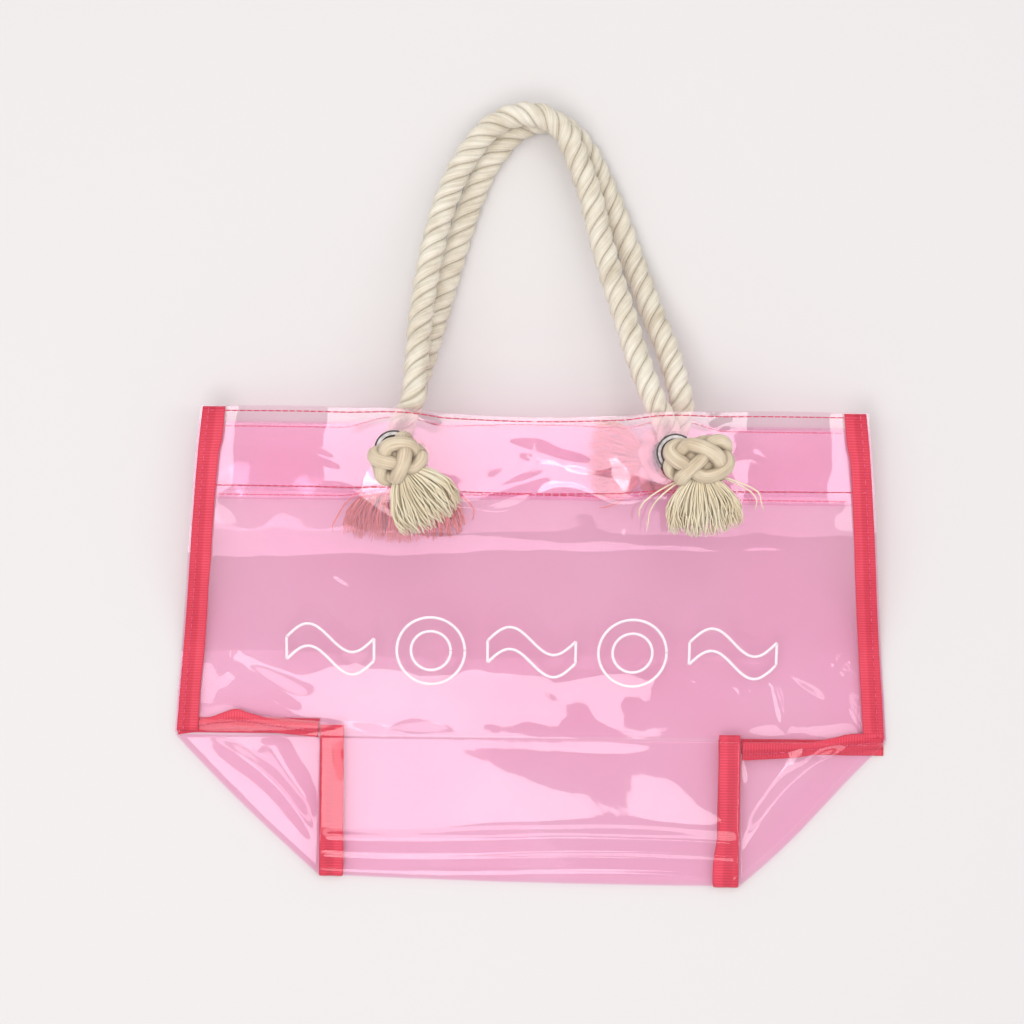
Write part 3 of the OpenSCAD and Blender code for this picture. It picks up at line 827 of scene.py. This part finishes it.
def make_gusset(side, word):
    half = [0.008, 0.02, 0.04, 0.07] + list(np.linspace(0.11, 1, 26))
    along, depth = np.meshgrid(np.linspace(0, 1, 44), [-d for d in half[::-1]] + [0] + half)
    grid = gusset_point(side, along, depth, 7.7 if side < 0 else 2.9)
    normals = grid_normals(grid)
    normals[0] = normals[1]
    normals[-1] = normals[-2]
    film = film_shell(f"gusset_film_{word}", grid, normals * side)
    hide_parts(f"{word}_gusset")
    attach(film, "back_wall")


# ---- tapes ----

TAPE_T = 1.3 * MM            # of the folded tape with the film's edge inside it


def hand_over(piece, nodes, side):
    """Hides the parts a piece stands for; it rides the back wall, or with a side given has its place baked
    in.
    """
    if nodes:
        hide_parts(*nodes)
    if side is None:
        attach(piece, "back_wall")
    else:
        blend_side(piece)


def tape_piece(name, line, across, width, nodes, seed=0.0, curl=0.6, side=None):
    """A folded tape: line is its bound edge, and across points from it over the flange.

    curl is how far its free edge may lift, in millimetres. With no side given it rides the back wall.
    """
    line = np.asarray(line, float)
    width = np.broadcast_to(width, len(line))
    across = unit(np.asarray(across, float))
    up = unit(np.cross(np.gradient(line, axis=0), across))
    up = np.where(up[:, 2:] < 0, -up, up)
    run = run_along(line)
    wobble = np.array([noise.noise(Vector((r * 30, seed, 1.3))) for r in run])
    lift = np.array([noise.noise(Vector((r * 22, seed, 7.9))) for r in run])
    half = TAPE_T / 2
    outline = [(half * (1 - math.sin(a)), half * math.cos(a)) for a in np.linspace(0, math.pi, 5)]
    top = [(t, half * (1 + 0.12 * math.sin(t * 9))) for t in np.linspace(0.12, 1, 9)]
    low = [(t, -h) for t, h in reversed(top)]
    section = [(s / TAPE_W, h) for s, h in outline[::-1]] + top + low
    points, uvs = [], []
    for i in range(len(line)):
        wide = width[i] * (1 + 0.035 * wobble[i])
        for t, h in section:
            rise = lift[i] * curl * MM * t ** 2
            points.append(line[i] + across[i] * t * wide + up[i] * (h + rise))
            uvs.append((run[i], t * TAPE_W + (0 if h >= 0 else 0.03)))
    faces = skin(len(line), len(section))
    piece = mesh_object(name, np.array(points), faces, TAPE, np.array(uvs))
    hand_over(piece, nodes, side)


STITCH_IN = 4.6 * MM         # from a tape's bound edge to its row of stitches
STITCH_PITCH = 5.6 * MM
STITCH_LENGTH = 4.3 * MM
THREAD_R = 0.46 * MM


def stitches(name, line, up, nodes=(), side=None):
    """A row of stitches along a line, each a little bridge that stands on its surface."""
    line = np.asarray(line, float)
    up = np.broadcast_to(np.asarray(up, float), line.shape)
    run = run_along(line)
    parts = []
    for k in range(int(run[-1] / STITCH_PITCH)):
        marks = (k + 0.5) * STITCH_PITCH + np.linspace(-0.5, 0.5, 5) * STITCH_LENGTH
        spine = np.stack([np.interp(marks, run, line[:, i]) for i in range(3)], axis=1)
        rise = np.stack([np.interp(marks, run, up[:, i]) for i in range(3)], axis=1)
        hump = np.array([-0.8, 0.55, 0.9, 0.55, -0.8])[:, None] * THREAD_R
        parts.append(tube_parts(spine + rise * hump, THREAD_R, 6, u0=k))
    hand_over(joined(name, parts, THREAD), nodes, side)


TAPE_LIFT = FILM_T + 0.8 * MM


def side_line(side, inset, lift):
    ys = np.linspace(2 * MM, MOUTH_Y - 0.5 * MM, 70)
    x = side * (half_w(ys) - 1.6 * MM - inset)
    return np.stack([x, ys, front_z(x, ys) + FILM_T / 2 + lift], axis=1)


def make_side_binding(side, word):
    """The tape over the side seam lies on the front wall's edge."""
    line, inner = side_line(side, 0, 0.8 * MM), side_line(side, TAPE_W, 0.9 * MM)
    width = TAPE_W * (1 + 0.09 * smooth((line[:, 1] - (MOUTH_Y - 34 * MM)) / (12 * MM)))
    tape_piece(f"{word}_side_binding", line, inner - line, width, [f"{word}_side_tape"],
               seed=2.0 * side, side=side)
    stitches(f"{word}_side_stitches", side_line(side, STITCH_IN, 1.65 * MM), UP,
             [f"{word}_side_thread"], side)


# Edges of the tapes at the foot of the front wall: (part of the way from the base's corner to
# the side seam, height over the crease in millimetres)
FOOT_EDGES = {
    "left": ([(0, 9.4), (0.3, 11), (0.5, 15.6), (0.6, 18), (0.8, 11), (1, 9)],
             [(0, -1), (0.3, 1.5), (0.5, 4.6), (0.6, 4.4), (0.8, 2), (1, -1)]),
    "right": ([(0, -0.5), (0.34, -0.7), (0.49, -0.8), (0.66, 3), (0.77, 5.6), (1, 6)],
              [(0, -14), (0.34, -12), (0.49, -10), (0.66, -8.6), (0.77, -7.4), (1, -4)]),
}


EDGE_SCALE = 40              # brings those heights to the size of the first number


def foot_edge(side, points, t):
    """An edge of the tape at the front wall's foot; it lies on the wall or hangs over it."""
    way = catmull([(part, high / EDGE_SCALE, 0) for part, high in points], 0.02)
    y = np.interp(t, way[:, 0], way[:, 1]) * EDGE_SCALE * MM
    x = BASE_HALF + 1 * MM + t * (FOOT_HALF - BASE_HALF - 3.5 * MM)
    lift = -1.4 * MM if side < 0 else 1.5 * MM
    z = front_z(x, np.maximum(y, 0)) + lift - 0.22 * np.maximum(-y, 0)
    return np.stack([side * x, y, z], axis=1)


def make_across_binding(side, word):
    """The tape along the foot of the wall outside the base, on the front and on the back."""
    t = np.linspace(0, 1, 60)
    high, low = (foot_edge(side, points, t) for points in FOOT_EDGES[word])
    across = high - low
    tape_piece(f"{word}_front_foot_binding", low, across, np.linalg.norm(across, axis=1),
               [f"{word}_across_tape"], seed=4.0 + side, curl=0.3)
    row = low + unit(across) * STITCH_IN + UP * 0.85 * MM
    stitches(f"{word}_front_foot_stitches", row[2:-2], UP)
    xs = np.linspace(BASE_HALF + 1 * MM, FOOT_HALF - 2 * MM, 40)
    back = np.stack([side * xs, np.full_like(xs, 0.8 * MM), np.full_like(xs, TAPE_LIFT)], axis=1)
    tape_piece(f"{word}_back_foot_binding", back, np.tile((0, -side, 0), (len(xs), 1)),
               11 * MM, [], seed=6.0 + side, curl=0.0)
    row = back + np.array([0, -side * STITCH_IN, 0.75 * MM])
    stitches(f"{word}_back_foot_stitches", row, UP, [f"{word}_across_thread"])


def inset_profile(inset):
    """The base's profile moved towards the outside of the film by inset."""
    profile = base_profile()
    d = unit(np.gradient(profile, axis=0))
    return profile + np.stack([d[:, 1], -d[:, 0]], axis=1) * inset


def make_down_binding(side, word):
    """The tape that runs down the front of the base, round its fold and up its back."""
    moved = inset_profile(FILM_T / 2 + 0.8 * MM)
    x = side * (BASE_HALF - 0.3 * MM)
    line = np.stack([np.full(len(moved), x), skewed(x, moved[:, 0]), moved[:, 1]], axis=1)
    past = np.linspace(0.5, 8 if side < 0 else 4, 6) * MM
    more = np.stack([np.full(6, x), past, front_z(np.full(6, x), past) - 1.3 * MM], axis=1)
    line = np.concatenate([line[:-1], more])
    across = np.tile((-side, 0, 0), (len(line), 1))
    front = smooth((line[:, 2] - 2 * MM) / (6 * MM))
    low = smooth((-line[:, 1] - 60 * MM) / (30 * MM))
    width = TAPE_W * (1 + front * (0.14 if side < 0 else 0.22 * low))
    tape_piece(f"{word}_down_binding", line, across, width, [f"{word}_down_tape"],
               seed=9.0 * side, curl=0.25)
    inner = inset_profile(FILM_T / 2 + 0.8 * MM + 0.75 * MM)
    row = np.stack([np.full(len(inner), x - side * STITCH_IN), skewed(x, inner[:, 0]),
                    inner[:, 1]], axis=1)
    stitches(f"{word}_down_stitches", row, UP, [f"{word}_down_thread"])


# ---- stitches round the mouth, and the print ----

def make_mouth_stitches():
    """The front wall's rows run over the side tapes; the back wall's end at them."""
    for where, y in (("top", MOUTH_Y - 3.2 * MM), ("hem", HEM_FOOT_Y + 3.5 * MM)):
        for side, word in SIDES:
            x = side * np.linspace(1 * MM, float(half_w(y)) - 1.5 * MM, 120)
            line = front_point(x, np.full_like(x, y)) + UP * FILM_T / 2
            over = smooth((np.abs(x) - float(half_w(y)) + 20 * MM) / (4 * MM))
            line[:, 2] += over * 1.7 * MM
            nodes = [f"front_{where}_thread"] if side < 0 else []
            stitches(f"front_{where}_stitches_{word}", line, UP, nodes, side)
        reach = float(half_w(y)) - 17 * MM
        x = np.linspace(-reach, reach, 200)
        line = back_point(x, np.full_like(x, y)) - UP * FILM_T / 2
        stitches(f"back_{where}_stitches", line, -UP, [f"back_{where}_thread"])


PRINT_Y = 62 * MM
PRINT_STEP = 71 * MM         # from the middle of a wave to that of the ring beside it
RING_RADII = (24 * MM, 14 * MM)
WAVE_LENGTH = 62 * MM
WAVE_HIGH = 10 * MM
WAVE_HALF_W = 8 * MM
INK_W = 1.95 * MM
INK_T = 0.12 * MM
INK_LIFT = FILM_T / 2 + 0.12 * MM


def ink_line(path, closed):
    """Grid of a ribbon of ink that follows a flat path on the front wall."""
    path = np.asarray(path, float)
    d = unit(np.gradient(path, axis=0))
    if closed:
        d[0] = d[-1] = unit((path[1] - path[-2])[None])[0]
    left = np.stack([-d[:, 1], d[:, 0]], axis=1)
    rows = [path + left * s * INK_W / 2 for s in (-1, 0, 1)]
    grid = np.stack([front_point(r[:, 0], r[:, 1]) for r in rows], axis=0)
    return grid + UP * INK_LIFT


def ring_path(x, radius):
    a = np.linspace(0, 2 * math.pi, 72)
    return np.stack([x + radius * np.cos(a), PRINT_Y + radius * np.sin(a)], axis=1)


def wave_path(x, up):
    f = np.linspace(0, 1, 60)
    return np.stack([x + (f - 0.5) * WAVE_LENGTH,
                     PRINT_Y + up + WAVE_HIGH * np.sin(2 * math.pi * f)], axis=1)


def wave_outline(x):
    """One closed outline: a wave's two edges, joined at both ends."""
    top, low = wave_path(x, WAVE_HALF_W), wave_path(x, -WAVE_HALF_W)
    return [top, low, np.linspace(low[0], top[0], 12), np.linspace(low[-1], top[-1], 12)]


def make_print():
    groups = {}
    for k, word in ((-2, "left"), (0, "middle"), (2, "right")):
        groups[word] = [ink_line(p, False) for p in wave_outline(k * PRINT_STEP)]
    for side, word in SIDES:
        for radius in RING_RADII:
            groups[word].append(ink_line(ring_path(side * PRINT_STEP, radius), True))
    for word, grids in groups.items():
        parts = [shell_parts(grid, INK_T, grid_normals(grid))[:2] for grid in grids]
        ink = joined(f"print_{word}", [(p, faces, p[:, :2]) for p, faces in parts], INK)
        if word == "middle":
            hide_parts("front_print")
            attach(ink, "front_wall")
        else:
            blend_side(ink)


# ---- knots and tassels ----

def knot_frame(angle, tilt):
    """A knot's axis, pointing to its tassel, and its two cross directions."""
    a, t = math.radians(angle), math.radians(tilt)
    axis = np.array([math.cos(a) * math.cos(t), math.sin(a) * math.cos(t), math.sin(t)])
    across = np.array([-math.sin(a), math.cos(a), 0])
    return axis, across, np.cross(axis, across)


BIGHTS = 4
KNOT_STRAND_R = 5.2 * MM


def make_knot(name, node, body, angle, tilt, wide, deep, tall, shift, phase):
    """A wall knot: its strands weave round the axis as a three-strand plait."""
    axis, across, up = knot_frame(angle, tilt)
    lo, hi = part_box(node)
    centre = np.array((lo + hi) / 2) + axis * shift
    t = np.linspace(0, 6 * math.pi, 260)
    s = BIGHTS * t / 3 + phase
    reach = 1 + 0.20 * np.sin(2 * s + 0.3)
    high = (tall / 2 - KNOT_STRAND_R) * np.sin(s)
    swell = 1 - 0.16 * np.sin(s) ** 2
    x = (wide / 2 - KNOT_STRAND_R * 1.05) * reach * swell * np.cos(t) / 1.15
    z = (deep / 2 - KNOT_STRAND_R * 1.05) * reach * swell * np.sin(t) / 1.15
    line = centre + axis * high[:, None] + across * x[:, None] + up * z[:, None]
    radius = KNOT_STRAND_R * (1 + 0.07 * np.sin(s * 1.7 + phase))
    parts = [tube_parts(line, radius, 16)]
    core = axis * np.linspace(-0.36, 0.36, 9)[:, None] * tall
    fat = (deep / 2 - KNOT_STRAND_R) * np.sqrt(1 - np.linspace(-0.9, 0.9, 9) ** 2) - 0.6 * MM
    points, faces, uvs = tube_parts(core, fat, 20, u0=1.0)
    points = points + np.outer(points @ across, across) * (0.9 * wide / deep - 1)
    parts.append((points + centre, faces, uvs))
    for part in parts:
        part[0][:, 2] = np.maximum(part[0][:, 2], 0.3 * MM)
    knot = joined(name, parts, KNOT_SHADED)
    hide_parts(node)
    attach(knot, body)
    return centre, axis, across


FILLER = 14                  # thick yarns in the middle of a tassel


def make_tassel(name, knot, node, tall, width, length, count, seed, strays):
    """Frayed yarns that leave the knot in a bunch and fan out over what they lie on."""
    centre, axis, across = knot
    rng = random.Random(seed)
    flat_axis = unit(np.array([axis[0], axis[1], 0.0]))
    start = centre + axis * (tall / 2 - 4 * MM)
    lo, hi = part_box(node)
    z_low, z_high = lo.z + 0.6 * MM, hi.z - 0.4 * MM
    parts = []
    for i in range(FILLER + count + len(strays)):
        thick, loose = i < FILLER, i >= FILLER + count
        bend = strays[i - FILLER - count] if loose else rng.uniform(-1, 1)
        if thick:
            bend = 2 * (i + 0.5) / FILLER - 1
        depth = 0.0 if thick else rng.uniform(-1, 1)
        lean = math.copysign(abs(bend) ** 0.9, bend)
        root = start + across * (bend * 8.5 * MM) + UP * depth * 5.0 * MM
        reach = length * rng.uniform(0.80, 1.05) * (1 - 0.16 * bend * bend)
        if loose:
            reach = length * rng.uniform(0.5, 0.9)
        elif thick:
            reach = 0.62 * reach
            lean *= 0.72
        tip = centre + flat_axis * (tall / 2 + reach) + across * (lean * width / 2)
        tip[2] = z_low + (z_high - z_low) * (0.5 + 0.5 * depth) * rng.uniform(0.35, 0.8)
        f = np.linspace(0, 1, 9)[:, None]
        line = root + (tip - root) * f
        bulge = across * (bend * 0.12 * width) * np.sin(f * math.pi)
        hump = UP * (3.0 * MM * (0.4 + 0.6 * depth)) * np.sin(f * math.pi)
        phase, turns = rng.uniform(0, 6.3), rng.uniform(1.0, 3.4)
        curl = across * np.sin(f * turns * math.pi + phase) * f ** 1.5 * 2.1 * MM
        curl = curl + UP * np.cos(f * turns * 3 + phase) * f * 0.8 * MM
        line = line + bulge + hump + curl
        line[:, 2] = np.clip(line[:, 2], z_low, None)
        yarn_r = (1.9 if thick else rng.uniform(0.42, 0.6)) * MM
        radius = yarn_r * np.array([1, 1, 1, 1, 1, 0.97, 0.93, 0.85, 0.5])
        parts.append(tube_parts(line, radius, 8 if thick else 5, u0=i * 0.21))
    # the back tassels take the yarn painted with the film's pink light
    tassel = joined(name, parts, YARN_UNDER_FILM_LIGHT if name.startswith("back") else YARN)
    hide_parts(node)
    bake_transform(tassel)


KNOTS = {
    "front_left": dict(angle=-58, tilt=-4, wide=41, deep=28, tall=31, shift=2, phase=0.6,
                       width=46, length=37, count=250, strays=()),
    "front_right": dict(angle=-84, tilt=-4, wide=51, deep=28, tall=33, shift=1, phase=2.1,
                        width=50, length=35, count=280, strays=(-1.75, -1.5, -1.6, 1.7, 1.5)),
    "back_left": dict(angle=-88, tilt=0, wide=41, deep=28, tall=31, shift=1, phase=1.4,
                      width=84, length=42, count=240, strays=(1.2, -1.2)),
    "back_right": dict(angle=178, tilt=0, wide=46, deep=28, tall=33, shift=2, phase=3.0,
                       width=54, length=34, count=220, strays=(1.2,)),
}


def make_knots():
    for i, (place, k) in enumerate(KNOTS.items()):
        tall = k["tall"] * MM
        knot = make_knot(f"{place}_wall_knot", f"{place}_knot", f"{place}_knot_body",
                         k["angle"], k["tilt"], k["wide"] * MM, k["deep"] * MM, tall,
                         k["shift"] * MM, k["phase"])
        make_tassel(f"{place}_yarns", knot, f"{place}_tassel",
                    tall,
                    k["width"] * MM, k["length"] * MM, k["count"], 11 + i, k["strays"])


# ---- the floor ----

FLOOR_HALF = 6.0
FLOOR_Z = -0.3 * MM


def make_floor():
    corners = [(x * FLOOR_HALF, y * FLOOR_HALF, FLOOR_Z)
               for x, y in ((-1, -1), (1, -1), (1, 1), (-1, 1))]
    mesh_object("floor", corners, [(0, 1, 2, 3)], floor_material())


make_front_film()
make_back_film()
make_base_film()
for side, word in SIDES:
    make_gusset(side, word)
    make_side_binding(side, word)
    make_across_binding(side, word)
    make_down_binding(side, word)
make_mouth_stitches()
make_print()
make_knots()
for node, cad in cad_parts.items():
    if "eyelet" in node or "washer" in node:
        cad.data.materials.clear()
        cad.data.materials.append(METAL)
make_floor()
